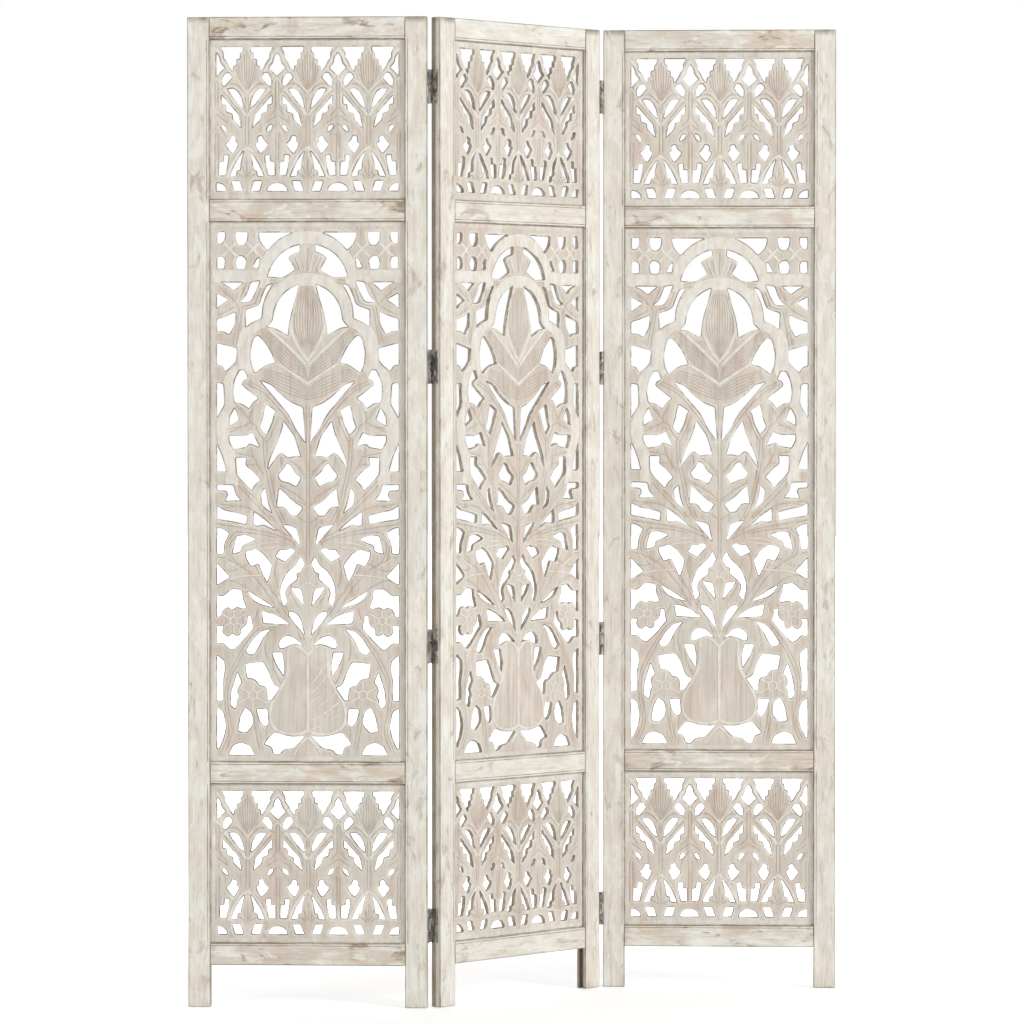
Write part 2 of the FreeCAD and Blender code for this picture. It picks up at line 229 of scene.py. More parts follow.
MIDDLE_RIMS = [
    # Crosses in the petal lattice
    [(78, 1278), (104, 1251)], [(78, 1251), (104, 1278)], [(117, 1278), (143, 1251)],
    [(117, 1251), (143, 1278)],
    # Lotus petals
    [(0, 1079), (14, 1098), (25, 1122), (32, 1146)], [(4, 1074), (34, 1104), (64, 1131)],
    [(0, 1040), (30, 1061), (54, 1075)],
    # The vase's two lobes, with a seam between them
    [(0, 588), (10, 598), (22, 605), (32, 598), (33, 575), (35, 553), (45, 533), (57, 513), (63, 494),
     (62, 477), (54, 464), (38, 457), (16, 456), (0, 462)],
    [(0, 462), (0, 588)],
]
# Lotus petals: dark veins spread evenly from a first line to a last one
MIDDLE_FANS = [
    ([(0, 1088), (0, 1150), (0, 1200)], [(5, 1094), (23, 1138), (15, 1190)], 6),
    ([(4, 1066), (34, 1096), (70, 1130)], [(2, 1048), (38, 1070), (80, 1116)], 6),
    ([(2, 1033), (30, 1051), (70, 1064)], [(3, 1014), (32, 1024), (76, 1046)], 6),
]
# Slanting ridges on one side of the left panel's vase
LEFT_VASE_RIDGES = ([(5, 464), (25, 472), (54, 490)], [(6, 540), (16, 552), (30, 574)], 6)
# Round flowers: centre, outer radius, number of petals
MIDDLE_FLOWERS = [((124, 645), 22, 6), ((92, 521), 26, 6), ((0, 712), 15, 4)]
# Pale arch bands: round ones by centre, radius and angles, then the bar and the side lobes
BAND_ARCS = [((0, 1210), 74, 0, 90), ((0, 1146), 68, 0, 90)]
BAND_LINES = [
    [(76, 1210), (88, 1219), (152, 1219)],
    [(70, 1146), (88, 1138), (102, 1122), (108, 1100), (107, 1080), (104, 1064)],
    [(108, 1064), (122, 1057), (131, 1040), (133, 1015), (130, 992)],
    [(131, 998), (140, 982), (142, 960), (139, 940), (131, 918), (127, 898), (127, 876)],
]

# End board: three palmette columns, each mirrored on its own line, with ogee openings between them.
END_COLUMNS = 3
END_COLUMN_WIDTH = 101.4
COLUMN_OPENINGS = [
    [(6, 361), (44, 361), (38, 350), (39, 343), (33, 336), (29, 327), (23, 319), (22, 329), (17, 330),
     (17, 340), (11, 341), (11, 351), (7, 352)],
    [(24, 310), (29, 318), (36, 317), (42, 306), (41, 296), (36, 296), (30, 303)],
    [(5, 258), (8, 274), (14, 286), (22, 292), (32, 291), (26, 281), (13, 264)],
    [(9, 226), (14, 249), (42, 281), (42, 266), (35, 265), (34, 253), (24, 250), (23, 240)],
    [(32, 219), (36, 230), (43, 232), (42, 225), (36, 220)],
    [(18, 211), (25, 214), (29, 205), (36, 199), (30, 190), (23, 183), (17, 192), (14, 200), (19, 203)],
    [(5, 188), (12, 179), (20, 166), (29, 145), (18, 146), (17, 155), (11, 156), (10, 168)],
    [(30, 180), (38, 182), (39, 170), (46, 170), (47, 147), (36, 147), (32, 165)],
    [(12, 138), (26, 138), (21, 121), (6, 121)],
]
OGEE_HALF_OPENINGS = [
    [(0, 351), (5, 344), (7, 334), (14, 326), (7, 319), (0, 312)],
    [(0, 135), (9, 133), (15, 128), (17.5, 121), (0, 121)],
]
COLUMN_STEMS = [
    [(0, 276), (0, 240), (0, 200)], [(50.7, 312), (50.7, 262)], [(50.7, 216), (50.7, 148)],
]
COLUMN_VEINS = [
    [(0, 290), (0, 352)], [(1, 296), (4, 318), (4, 346)], [(2, 294), (8, 316), (9, 340)],
    [(2, 292), (11, 313), (14, 332)], [(3, 291), (13, 310), (18, 324)],
    [(8, 235), (14, 255), (40, 286)],
    [(48, 258), (38, 246)], [(48, 246), (34, 236)], [(48, 232), (38, 216)],
    [(4, 284), (16, 297), (30, 299), (42, 292)],
    [(0, 172), (0, 142)], [(2, 146), (8, 162)], [(3, 143), (16, 150)],
]
COLUMN_RIDGES = [
    [(0, 284), (10, 295), (22, 306)], [(44, 300), (50.7, 308), (57.4, 300)],
]
COLUMN_RIMS = [
    [(50.7, 357), (42, 344), (37, 333), (26, 314)], [(3, 248), (18, 272), (38, 290)],
    [(0, 194), (13, 182), (24, 165), (31, 146)],
]

# Carving: spacing of points, roundness and unevenness of outlines
LOOP_STEP = 1.8
MARK_STEP = 1.6
RIM_STEP = 4.0
SEAM_STEP = 3.0
GRID_STEP = 4.2
GRID_ROW = GRID_STEP * 0.866
GRID_CLEARANCE = 0.5 * GRID_STEP
LEAST_GAP = 0.6
LEAST_PARTS = 3
KEPT_DIGITS = 3
CELL_SHIFT = 1e-4
MERGE_GAP = 1e-5
TINY = 1e-6
BOW_PARTS = 6
CURVE_PARTS = 8
ARC_POINTS = 60
HEART_POINTS = 17
HEART_SHARE = 0.28
CORNER_POINTS = 5
CORNER_SHARE = 0.47
LEAST_CORNER = 1.0
TIP_ROUNDNESS = 6.0
LOBE_ROUNDNESS = 16.0
END_ROUNDNESS = 2.5
TOP_OPENNESS = 0.99
BOTTOM_OPENNESS = 0.94
HAND_WOBBLE = 0.35
WOBBLE_RATE = 0.06
SEED_SPACING = 7.3
UPWARD_SEED = 9
SURFACE_SEED = 3
TOP_SEED = 5
BOTTOM_SEED = 1
COLUMN_SEEDS = 20
PANEL_SEEDS = 100
BOARD_SEEDS = 3

# Carving: widths and depths of the relief, and strengths of wash and dark
EDGE_ROWS = (0.9, 2.1, 3.8)
EDGE_ROUND_WIDTH = 4.5
EDGE_ROUND_DEPTH = 1.0
EDGE_WASH_WIDTH = 6.0
EDGE_WASH_GAIN = 1.5
EDGE_WASH = 0.55
# How long the grime and painted shade along cut edges stays full
EDGE_DIRT_AND_SHADE_GAIN = 1.7
FACE_DEPTH = 0.2
FACE_WOBBLE = 0.2
GROUND_DEPTH = 0.6
VEIN_HALF_WIDTH = 1.2
VEIN_DEPTH = 1.0
RIDGE_HALF_WIDTH = 0.8
RIDGE_WASH = 0.7
RIM_HALF_WIDTH = 2.0
RIM_WASH = 0.62
BAND_HALF_WIDTH = 10.5
BAND_WASH = 0.6
STEP_WIDTH = 0.7
# Strength of the painted shade at the foot of each raised line
STEP_FOOT_SHADE = 0.6
STEM_RIB_OFFSET = 2.6
FLANK_SHARE = 0.85
BORDER_WIDTH = 11.0
BORDER_GAIN = 2.0
BORDER_WASH = 0.5
SEAM_WIDTH = 1.5
BACK_RELIEF = 0.45
BOARD_SMOOTH_ANGLE = 40


def wobble(x, z, seed):
    """Small hand-made unevenness, from -1 to 1."""
    return noise.noise(Vector((x * WOBBLE_RATE, seed * SEED_SPACING, z * WOBBLE_RATE)))


def bowed(corners):
    """The corners with extra points along each bowed edge."""
    points = []
    for index, corner in enumerate(corners):
        start = Vector(corner[:2])
        points.append(start)
        if len(corner) > 2:
            run = Vector(corners[(index + 1) % len(corners)][:2]) - start
            swell = Vector((-run.y, run.x)).normalized() * corner[2]
            for part in np.arange(1, BOW_PARTS) / BOW_PARTS:
                points.append(start + run * part + swell * 4 * part * (1 - part))
    return points


def softened(points, tip_roundness, lobe_roundness):
    """A closed outline with each corner turned into a short curve, tighter where it is sharp; tips of the
    opening and lobes of the wood have a roundness each."""
    sweep = sum(a.cross(b) for a, b in zip(points, points[1:] + points[:1]))
    smooth = []
    for index, corner in enumerate(points):
        back = points[index - 1] - corner
        ahead = points[(index + 1) % len(points)] - corner
        openness = back.angle(ahead, math.pi) / math.pi
        roundness = lobe_roundness if back.cross(ahead) * sweep > 0 else tip_roundness
        cut = min(CORNER_SHARE * back.length, CORNER_SHARE * ahead.length,
                  LEAST_CORNER + roundness * openness ** 2)
        start = corner + back.normalized() * cut
        end = corner + ahead.normalized() * cut
        for part in np.linspace(0, 1, CORNER_POINTS):
            smooth.append(start.lerp(corner, part).lerp(corner.lerp(end, part), part))
    return smooth


def evenly(points, step, closed=True):
    """The same line with its points about one step apart."""
    chain = list(points) + [points[0]] if closed else list(points)
    lengths = [(b - a).length for a, b in zip(chain, chain[1:])]
    reach = np.concatenate(([0.0], np.cumsum(lengths)))
    stations = np.linspace(0, reach[-1], max(LEAST_PARTS, round(reach[-1] / step)) + 1)
    pairs = np.column_stack((np.interp(stations, reach, [p.x for p in chain]),
                             np.interp(stations, reach, [p.y for p in chain])))
    return pairs[:-1] if closed else pairs


def beside(line, offset, closed=False):
    """A line moved to its left by offset."""
    ahead = np.roll(line, -1, 0) - np.roll(line, 1, 0) if closed else np.gradient(line, axis=0)
    left = np.column_stack((-ahead[:, 1], ahead[:, 0]))
    return line + offset * left / np.maximum(np.linalg.norm(left, axis=1, keepdims=True), TINY)


def placed(line, hand, shift):
    """A line as drawn or, for hand -1, mirrored, then moved across."""
    return line * (hand, 1) + (shift, 0)


def mirrored(lines, shift=0.0):
    """The lines and their mirror images, moved across."""
    return [placed(line, hand, shift) for hand in (1, -1) for line in lines]


def opening_loop(corners, hand, shift, seed, *roundness):
    """One opening as an even closed loop, clockwise, in its place on the board."""
    loop = placed(evenly(softened(bowed(corners), *roundness), LOOP_STEP), hand, shift)
    shifts = [(wobble(x, z, seed), wobble(x, z, seed + UPWARD_SEED)) for x, z in loop]
    loop += HAND_WOBBLE * np.array(shifts)
    x, z = loop.T
    area = np.sum(x * np.roll(z, -1) - np.roll(x, -1) * z)
    return loop[::-1] if area > 0 else loop


def curve(points):
    """A smooth line through a few points, as even points."""
    ends = [Vector(p) for p in points]
    if len(ends) == 2:
        return evenly(ends, MARK_STEP, closed=False)
    ends = [2 * ends[0] - ends[1]] + ends + [2 * ends[-1] - ends[-2]]
    smooth = []
    for a, b, c, d in zip(ends, ends[1:], ends[2:], ends[3:]):
        for t in np.arange(CURVE_PARTS) / CURVE_PARTS:
            smooth.append(0.5 * (2 * b + (c - a) * t + (2 * a - 5 * b + 4 * c - d) * t ** 2
                                 + (3 * b - a - 3 * c + d) * t ** 3))
    smooth.append(ends[-2])
    return evenly(smooth, MARK_STEP, closed=False)


def curves(rows):
    return [curve(points) for points in rows]


def fan(first, last, count):
    """Lines spread evenly from a first line to a last one."""
    first, last = np.array(first, float), np.array(last, float)
    return curves(first + (last - first) * part for part in np.linspace(0, 1, count))


def arc(centre, radius, first, last, count=ARC_POINTS):
    angles = np.radians(np.linspace(first, last, count))
    return np.column_stack((centre[0] + radius * np.cos(angles), centre[1] + radius * np.sin(angles)))


def flower(centre, radius, petals):
    """Ring and petal divisions of a round flower."""
    heart = HEART_SHARE * radius
    lines = [curve(arc(centre, heart, 0, 360, HEART_POINTS))]
    for number in range(petals):
        angle = 2 * math.pi * (number + 0.5) / petals
        ray = Vector((math.cos(angle), math.sin(angle)))
        lines.append(curve([Vector(centre) + ray * heart, Vector(centre) + ray * radius]))
    return lines


def ribbed(stems):
    """The pair of ribs on each stem."""
    return [beside(line, side * STEM_RIB_OFFSET) for line in curves(stems) for side in (-1, 1)]


def middle_drawing(seed, more_ridges):
    """Openings, veins and pale raised lines of a middle board; more_ridges are on its right half alone."""
    loops = [opening_loop(corners, hand, 0.0, seed + number, TIP_ROUNDNESS, LOBE_ROUNDNESS)
             for hand in (1, -1) for number, corners in enumerate(MIDDLE_OPENINGS)]
    veins = ribbed(MIDDLE_STEMS) + curves(MIDDLE_VEINS)
    for petals in MIDDLE_FANS:
        veins += fan(*petals)
    ridges = curves(MIDDLE_RIDGES)
    for blossom in MIDDLE_FLOWERS:
        ridges += flower(*blossom)
    bands = [arc(*band) for band in BAND_ARCS] + curves(BAND_LINES)
    raised = [(more_ridges + mirrored(ridges), RIDGE_HALF_WIDTH, RIDGE_WASH),
              (mirrored(curves(MIDDLE_RIMS)), RIM_HALF_WIDTH, RIM_WASH),
              (mirrored(bands), BAND_HALF_WIDTH, BAND_WASH)]
    return loops, mirrored(veins), raised


def end_drawing(seed, openness):
    """Openings, veins and pale raised lines of an end board; openness scales each opening in place."""
    columns = [(number - (END_COLUMNS - 1) / 2) * END_COLUMN_WIDTH for number in range(END_COLUMNS)]

    def repeated(lines):
        return [line for column in columns for line in mirrored(lines, column)]

    roundness = (END_ROUNDNESS, END_ROUNDNESS)
    loops = [opening_loop(corners, hand, column, seed + index + COLUMN_SEEDS * number, *roundness)
             for number, column in enumerate(columns) for hand in (1, -1)
             for index, corners in enumerate(COLUMN_OPENINGS)]
    for number in range(END_COLUMNS + 1):
        ogee = (number - END_COLUMNS / 2) * END_COLUMN_WIDTH
        hand = -1 if number == END_COLUMNS else 1
        for opening in OGEE_HALF_OPENINGS:
            if 0 < number < END_COLUMNS:
                opening = opening + [(-x, z) for x, z in reversed(opening) if x > 0]
            loops.append(opening_loop(opening, hand, ogee, seed + number, *roundness))
    loops = [loop.mean(axis=0) + openness * (loop - loop.mean(axis=0)) for loop in loops]
    raised = [(repeated(curves(COLUMN_RIDGES)), RIDGE_HALF_WIDTH, RIDGE_WASH),
              (repeated(curves(COLUMN_RIMS)), RIM_HALF_WIDTH, RIM_WASH)]
    return loops, repeated(ribbed(COLUMN_STEMS) + curves(COLUMN_VEINS)), raised


def inside(points, loop):
    """Which points lie within a closed loop."""
    x, z = points.T
    result = np.zeros(len(points), bool)
    for (x0, z0), (x1, z1) in zip(loop, np.roll(loop, -1, axis=0)):
        if z0 != z1:
            crosses = (z0 > z) != (z1 > z)
            result ^= crosses & (x < (x1 - x0) * (z - z0) / (z1 - z0) + x0)
    return result


def gaps(points, *lines):
    """Distance from each point to the nearest point of the lines."""
    marks = np.concatenate(lines)
    tree = KDTree(len(marks))
    for index, (x, z) in enumerate(marks):
        tree.insert((x, z, 0), index)
    tree.balance()
    return np.array([tree.find((x, z, 0))[2] for x, z in points])


def fading(gap, width, gain=1.0):
    """1 on a line, falling to 0 at its width; a gain above 1 keeps it full for longer."""
    return np.clip(gain * (1 - gap / width), 0, 1)


def thinned(points):
    """One point from each small cell; the same point drawn twice falls in one cell."""
    points = np.round(points, KEPT_DIGITS) + CELL_SHIFT
    first = np.unique(np.round(points / LEAST_GAP), axis=0, return_index=True)[1]
    return points[np.sort(first)]


def rectangle(x0, x1, z0, z1, step):
    return evenly([Vector((x0, z0)), Vector((x1, z0)), Vector((x1, z1)), Vector((x0, z1))], step)


def flanks(lines, offset):
    """Both sides of each line at an offset, leaving out what falls nearer to another line."""
    rows = np.concatenate([beside(line, side * offset) for line in lines for side in (-1, 1)])
    return rows[gaps(rows, *lines) > FLANK_SHARE * offset]


def face_points(low, high, span, loops, veins, raised):
    """A board's rim, and the points on its wood: close rows along the carving, a wide grid elsewhere."""

    def on_wood(points):
        keep = (points[:, 0] > low.x + LEAST_GAP) & (points[:, 0] < high.x - LEAST_GAP)
        keep &= (points[:, 1] > low.z + LEAST_GAP) & (points[:, 1] < high.z - LEAST_GAP)
        for loop in loops:
            near = np.flatnonzero(np.all((points > loop.min(0)) & (points < loop.max(0)), axis=1))
            keep[near[inside(points[near], loop)]] = False
        points = points[keep]
        return points[gaps(points, *loops) > LEAST_GAP]

    rim = rectangle(low.x, high.x, low.z, high.z, RIM_STEP)
    rows = [rectangle(inset - STILE_INNER, STILE_INNER - inset, span[0] + inset, span[1] - inset, SEAM_STEP)
            for inset in (0.0, SEAM_WIDTH)]
    rows += veins + [flanks(veins, VEIN_HALF_WIDTH)]
    for lines, half_width, _ in raised:
        rows += lines + [flanks(lines, half_width + step * STEP_WIDTH) for step in (0, 1, 2)]
    rows += [beside(loop, inset, closed=True) for loop in loops for inset in EDGE_ROWS]
    detail = on_wood(thinned(np.concatenate(rows)))
    columns = np.arange(low.x, high.x, GRID_STEP)
    levels = np.arange(low.z, high.z, GRID_ROW)
    grid = np.array([(x + (row % 2) * GRID_STEP / 2, z) for row, z in enumerate(levels) for x in columns])
    grid = on_wood(grid)
    grid = grid[gaps(grid, rim, *loops, detail) > GRID_CLEARANCE]
    return rim, np.concatenate((detail, grid))


def face_triangles(loops, others):
    """All points joined into triangles, without those in the openings, and the point numbers of each loop.
    The first loop is the board's rim."""
    points = np.concatenate(loops + [others])
    edges, rings, start = [], [], 0
    owner = np.full(len(points), -1)
    for number, loop in enumerate(loops):
        ring = list(range(start, start + len(loop)))
        owner[ring] = number
        rings.append(ring)
        edges += list(zip(ring, ring[1:] + ring[:1]))
        start += len(loop)
    triangles = np.array(delaunay_2d_cdt([Vector(p) for p in points], edges, [], 0, MERGE_GAP, False)[2])
    owners = owner[triangles]
    one_ring = np.all(owners == owners[:, :1], axis=1)
    middles = points[triangles].mean(axis=1)
    hollow = np.zeros(len(triangles), bool)
    for number, loop in enumerate(loops[1:], start=1):
        own = np.flatnonzero(one_ring & (owners[:, 0] == number))
        hollow[own] = inside(middles[own], loop)
    return points, triangles[~hollow], rings


def carved_surface(low, high, span, drawing):
    """A pierced board's face: points, triangles, the rings that bound it, and at each point the depth
    of cut, the wash of paint, the dark of veins and of the feet of raised lines (grime and painted shade
    in these hollows), and the dark along cut edges and the frame (grime and painted shade). span is the
    height of the frame's opening, foot and head."""
    loops, veins, raised = drawing
    rim, others = face_points(low, high, span, loops, veins, raised)
    points, triangles, rings = face_triangles([rim] + loops, others)
    x, z = points.T
    edge_gap = gaps(points, *loops)
    frame_gap = np.minimum.reduce([STILE_INNER - np.abs(x), z - span[0], span[1] - z])
    steps = [(gaps(points, *lines) - half_width) / STEP_WIDTH for lines, half_width, _ in raised]
    washes = [wash * fading(step, 1) for step, (_, _, wash) in zip(steps, raised)]
    step = np.minimum.reduce(steps)
    height = fading(step, 1)
    vein = fading(gaps(points, *veins), VEIN_HALF_WIDTH) * (1 - height)
    rounding = fading(edge_gap, EDGE_ROUND_WIDTH)
    uneven = np.array([wobble(*point, SURFACE_SEED) for point in points])
    cut = (FACE_DEPTH + FACE_WOBBLE * uneven + EDGE_ROUND_DEPTH * rounding ** 2 + VEIN_DEPTH * vein
           + GROUND_DEPTH * (1 - height))
    edge_wash = fading(edge_gap, EDGE_WASH_WIDTH, EDGE_WASH_GAIN)
    border_wash = fading(frame_gap, BORDER_WIDTH, BORDER_GAIN)
    # The foot of each raised line, which gets painted shade
    step_foot = fading(np.abs(step - 1), 1)
    marks = {
        "wash": np.maximum.reduce(washes + [BORDER_WASH * border_wash, EDGE_WASH * edge_wash]),
        # Veins darkened with grime and painted shade; feet of raised lines darkened with painted shade
        "dark": np.maximum(vein, STEP_FOOT_SHADE * step_foot * (1 - edge_wash)),
        # Dark along cut edges and along the frame: grime, plus painted shade standing for the shaded sawn
        # walls and the corner at the frame
        "dirt": np.maximum(fading(edge_gap, EDGE_ROWS[1], EDGE_DIRT_AND_SHADE_GAIN), fading(frame_gap, SEAM_WIDTH)),
    }
    return points, triangles, rings, cut, marks


# Meshes
GRAIN_SHIFT = np.array([3.17, 1.73, 0.91])


class Shape:
    """Vertices and faces gathered from several forms, with a material number for each face."""

    def __init__(self):
        self.vertices, self.faces, self.kinds = [], [], []

    def rings(self, rings, kind, capped):
        """Skin a run of equal rings; capped closes both ends, otherwise the last joins the first."""
        start, count = len(self.vertices), len(rings[0])
        for ring in rings:
            self.vertices += [tuple(p) for p in ring]
        pairs = len(rings) - 1 if capped else len(rings)
        for row in range(pairs):
            below, above = start + row * count, start + (row + 1) % len(rings) * count
            for index in range(count):
                following = (index + 1) % count
                self.faces.append((below + index, below + following, above + following, above + index))
        if capped:
            self.faces.append(tuple(range(start + count - 1, start - 1, -1)))
            self.faces.append(tuple(range(start + (len(rings) - 1) * count, start + len(rings) * count)))
        self.kinds += [kind] * (len(self.faces) - len(self.kinds))


def new_piece(name, vertices, faces, panel, nodes, materials, smooth_angle):
    """A mesh object of one panel, drawn in the panel's frame in millimetres."""
    mesh = bpy.data.meshes.new(name)
    mesh.from_pydata((np.asarray(vertices) * MM).tolist(), [], faces)
    mesh.set_sharp_from_angle(angle=math.radians(smooth_angle))
    for material in materials:
        mesh.materials.append(material)
    piece = bpy.data.objects.new(name, mesh)
    bpy.context.scene.collection.objects.link(piece)
    piece.matrix_world = panel_place(panel)
    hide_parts(*nodes)
    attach(piece, panel + "_panel")
    return piece


def set_kinds(piece, kinds):
    piece.data.polygons.foreach_set("material_index", np.array(kinds, np.int32))


def set_numbers(piece, name, values):
    layer = piece.data.attributes.new(name, "FLOAT", "POINT")
    layer.data.foreach_set("value", np.asarray(values, np.float32))


def set_grain(piece, along, across, through, seed):
    """Places along, across and through the grain, moved apart for each piece of wood."""
    layer = piece.data.attributes.new("grain", "FLOAT_VECTOR", "POINT")
    vectors = np.column_stack((along, across, through)) * MM + seed * GRAIN_SHIFT
    layer.data.foreach_set("vector", vectors.astype(np.float32).ravel())


# Materials; a mix node's colours are found by their sockets' numbers
NOISE_ROUGHNESS = 0.65
MIX_FIRST = 6
MIX_SECOND = 7
MIX_RESULT = 2


class Nodes:
    """The nodes of a material or world, added one after another."""

    def __init__(self, owner, shader="Principled BSDF"):
        owner.use_nodes = True
        self.owner = owner
        self.tree = owner.node_tree
        self.shader = self.tree.nodes[shader]

    def fill(self, node, inputs):
        """Give each named or numbered input a number, a colour or another node's output."""
        for key, value in inputs.items():
            if isinstance(value, (int, float, tuple)):
                node.inputs[key].default_value = value
            else:
                self.tree.links.new(value, node.inputs[key])

    def add(self, kind, inputs, **settings):
        """Add a node and return its outputs."""
        node = self.tree.nodes.new(kind)
        for key, value in settings.items():
            setattr(node, key, value)
        self.fill(node, inputs)
        return node.outputs

    def attribute(self, name, output="Fac"):
        return self.add("ShaderNodeAttribute", {}, attribute_name=name)[output]

    def noise(self, vector, scale, detail=4.0, distortion=0.0):
        """Noise of about 0.5, at so many waves a metre along each axis of the vector."""
        place = self.add("ShaderNodeVectorMath", {0: vector, 1: scale}, operation="MULTIPLY")[0]
        inputs = {"Vector": place, "Scale": 1.0, "Detail": detail, "Roughness": NOISE_ROUGHNESS,
                  "Distortion": distortion}
        return self.add("ShaderNodeTexNoise", inputs)["Fac"]

    def ramp(self, value, low, high, bottom=0.0, top=1.0):
        """value from low to high, turned into bottom to top with soft ends."""
        inputs = {"Value": value, "From Min": low, "From Max": high, "To Min": bottom, "To Max": top}
        return self.add("ShaderNodeMapRange", inputs, interpolation_type="SMOOTHSTEP")["Result"]

    def math(self, operation, first, second):
        return self.add("ShaderNodeMath", {0: first, 1: second}, operation=operation)[0]

    def plus(self, first, second):
        return self.math("ADD", first, second)

    def times(self, first, second):
        return self.math("MULTIPLY", first, second)

    def mix(self, factor, first, second):
        """Two colours mixed by a factor."""
        inputs = {0: factor, MIX_FIRST: first, MIX_SECOND: second}
        return self.add("ShaderNodeMix", inputs, data_type="RGBA")[MIX_RESULT]

    def coat(self, under, over, value, low, high, most=1.0):
        """under, covered by over where value rises from low to high."""
        return self.mix(self.ramp(value, low, high, 0.0, most), under, over)

    def marked(self, name, value, low, high, least, most):
        """A mark on the mesh, made uneven by value."""
        return self.times(self.attribute(name), self.ramp(value, low, high, least, most))

    def surface(self, colour, roughness, relief, strength, depth):
        """The material, with its colour, roughness and fine relief joined to the shader."""
        bump = self.add("ShaderNodeBump", {"Strength": strength, "Distance": depth, "Height": relief})
        self.fill(self.shader, {"Base Color": colour, "Roughness": roughness, "Normal": bump["Normal"]})
        return self.owner


def paint(red, green, blue):
    """A colour as a screen shows it, from 0 to 255, as a linear colour."""
    def linear(value):
        value /= 255
        return value / 12.92 if value <= 0.04045 else ((value + 0.055) / 1.055) ** 2.4
    return (linear(red), linear(green), linear(blue), 1.0)


# Colours of the frame
COOL_WASH = paint(233, 232, 223)
WARM_WASH = paint(234, 230, 220)
DULL_WASH = paint(219, 215, 205)
CHIP_WASH = paint(231, 229, 220)
GREY_WOOD = paint(214, 206, 197)
WARM_WOOD = paint(212, 195, 175)
WOOD_GRAIN = paint(198, 186, 172)
WASH_STREAK = paint(196, 187, 174)
WASH_GRAIN = paint(166, 154, 139)
STAIN = paint(156, 138, 120)
BARE_WOOD = paint(186, 172, 148)
BARE_STREAK = paint(138, 127, 110)
WORN_EDGE = paint(126, 114, 99)
# Grime and painted shade in the bead's groove and the board's slot; painted shade on the back of the bars'
# edges
CREVICE_DIRT_AND_SHADE = paint(112, 100, 86)

# Colours of the boards
LIMED_WOOD = paint(204, 190, 178)
PALE_LIMED = paint(220, 211, 200)
GREY_LIMED = paint(207, 204, 193)
LIMED_STREAK = paint(184, 169, 154)
LIMED_GRAIN = paint(164, 149, 134)
CREAM = paint(232, 228, 219)
DULL_CREAM = paint(217, 211, 201)
# Grime and painted shade for the veins; painted shade for the feet of raised lines
GROOVE_GRIME_AND_SHADE = paint(160, 145, 130)
# Grime and painted shade along cut edges and at the frame
CUT_DIRT_AND_SHADE = paint(112, 101, 88)
SAWN_WOOD = paint(176, 164, 149)
SAWN_PAINT = paint(222, 214, 203)
SAW_MARK = paint(148, 134, 118)

# Gloss, and the wash smeared on the hinges
WOOD_SPECULAR = 0.3
STEEL_METALLIC = 0.6
SMEARED_WASH = paint(204, 199, 188)


def frame_wood():
    """Whitewash over brown wood: streaked along the grain, rubbed through in patches and on the edges, with
    grime and painted shade in the grooves and painted shade on the back of the edges.
    """
    n = Nodes(bpy.data.materials.new("frame_whitewash"))
    grain = n.attribute("grain", "Vector")
    streaks = n.noise(grain, (5, 150, 150), 5, 0.3)
    fine = n.noise(grain, (20, 480, 480), 4)
    patches = n.noise(grain, (15, 34, 34), 8, 0.6)
    mottle = n.noise(grain, (24, 90, 90), 8, 0.5)
    stains = n.noise(grain, (20, 44, 44), 3, 0.8)
    chips = n.noise(grain, (24, 50, 50), 4, 0.4)
    tint = n.noise(grain, (8, 18, 18), 2)
    breaks = n.noise(grain, (30, 30, 30), 4)
    rub = n.attribute("rub")
    colour = n.coat(COOL_WASH, WARM_WASH, tint, 0.38, 0.62)
    colour = n.coat(colour, DULL_WASH, mottle, 0.42, 0.66)
    thin = n.plus(n.times(patches, 0.8), n.times(streaks, 0.2))
    thin = n.times(n.ramp(thin, 0.36, 0.60), rub)
    wood = n.coat(GREY_WOOD, WARM_WOOD, tint, 0.40, 0.60)
    wood = n.coat(wood, WOOD_GRAIN, fine, 0.35, 0.7)
    colour = n.mix(thin, colour, wood)
    colour = n.coat(colour, WASH_STREAK, streaks, 0.56, 0.74, 0.5)
    colour = n.coat(colour, WASH_GRAIN, fine, 0.56, 0.74, 0.55)
    colour = n.coat(colour, CHIP_WASH, chips, 0.58, 0.64, 0.7)
    spots = n.times(n.ramp(stains, 0.57, 0.68), n.ramp(mottle, 0.38, 0.60, 0.35, 0.9))
    colour = n.mix(n.times(spots, n.plus(rub, 0.1)), colour, STAIN)
    bare = n.mix(streaks, BARE_WOOD, BARE_STREAK)
    colour = n.mix(n.marked("bare", mottle, 0.28, 0.5, 0.45, 1.0), colour, bare)
    colour = n.mix(n.marked("edge", thin, 0.1, 0.6, 0.5, 0.9), colour, WORN_EDGE)
    # Crevice marks: grime and painted shade in the grooves, painted shade on the back of the bars' edges
    colour = n.mix(n.marked("crevice", breaks, 0.38, 0.60, 0.4, 1.0), colour, CREVICE_DIRT_AND_SHADE)
    n.fill(n.shader, {"Specular IOR Level": WOOD_SPECULAR})
    relief = n.plus(streaks, n.times(fine, 0.5))
    return n.surface(colour, n.ramp(streaks, 0.3, 0.7, 0.62, 0.85), relief, 0.35, 0.0012)


